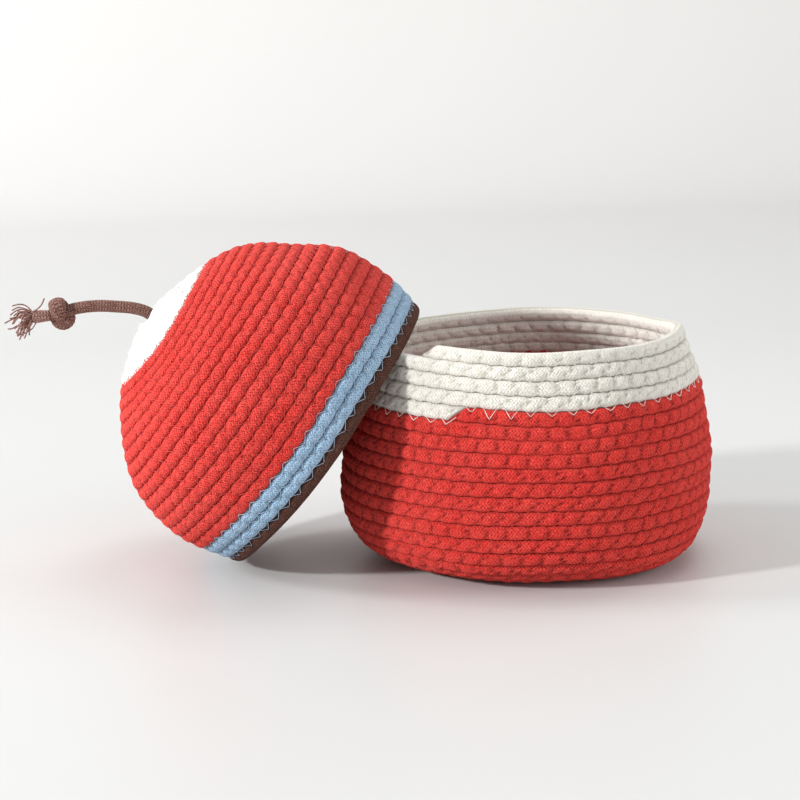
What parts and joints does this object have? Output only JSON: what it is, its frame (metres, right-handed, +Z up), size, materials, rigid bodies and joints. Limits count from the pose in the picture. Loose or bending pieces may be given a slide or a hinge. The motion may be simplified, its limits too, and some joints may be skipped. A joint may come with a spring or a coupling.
{
  "type": "coiled rope storage basket with lid",
  "caption": "Round basket of coiled and sewn cotton rope with a bellied wall and a loose domed lid, lifted by a knotted cord handle; the lid lies leaned against the basket.",
  "frame": {"origin": "middle of the basket's flat base, on the surface it stands on", "axes": "+Z up through the basket's mouth; -Y towards the picture's viewer; the lid lies on the -X side, its handle pointing to -X"},
  "size_m": [0.3578, 0.1899, 0.1657],
  "materials": {
    "red_rope": "soft matt cotton rope, knitted cover, coral red",
    "white_rope": "soft matt cotton rope, knitted cover, off-white",
    "blue_rope": "soft matt cotton rope, knitted cover, light blue",
    "brown_rope": "soft matt cotton rope, fine knitted cover, dark brown",
    "handle_cord": "brown cotton cord, fine braid, teased out at its end"
  },
  "bodies": {
    "basket": {"base_coil": "red_rope", "lower_wall_coil": "red_rope", "upper_wall_coil": "red_rope", "collar_coil": "white_rope"},
    "lid": {"lid_cap_coil": "white_rope", "lid_crown_coil": "red_rope", "lid_dome_coil": "red_rope", "lid_band_coil": "blue_rope", "lid_rim_cord": "brown_rope", "handle_cord": "handle_cord", "handle_knot": "handle_cord", "frayed_end": "handle_cord", "stop_knot": "handle_cord"}
  },
  "joints": [
    {"name": "lid_swing", "type": "hinge", "parent": "basket", "child": "lid", "pos_m": [0.00189, 0, -0.00687], "axis": [0, 1, 0], "range_deg": [0, 54.5]}
  ]
}
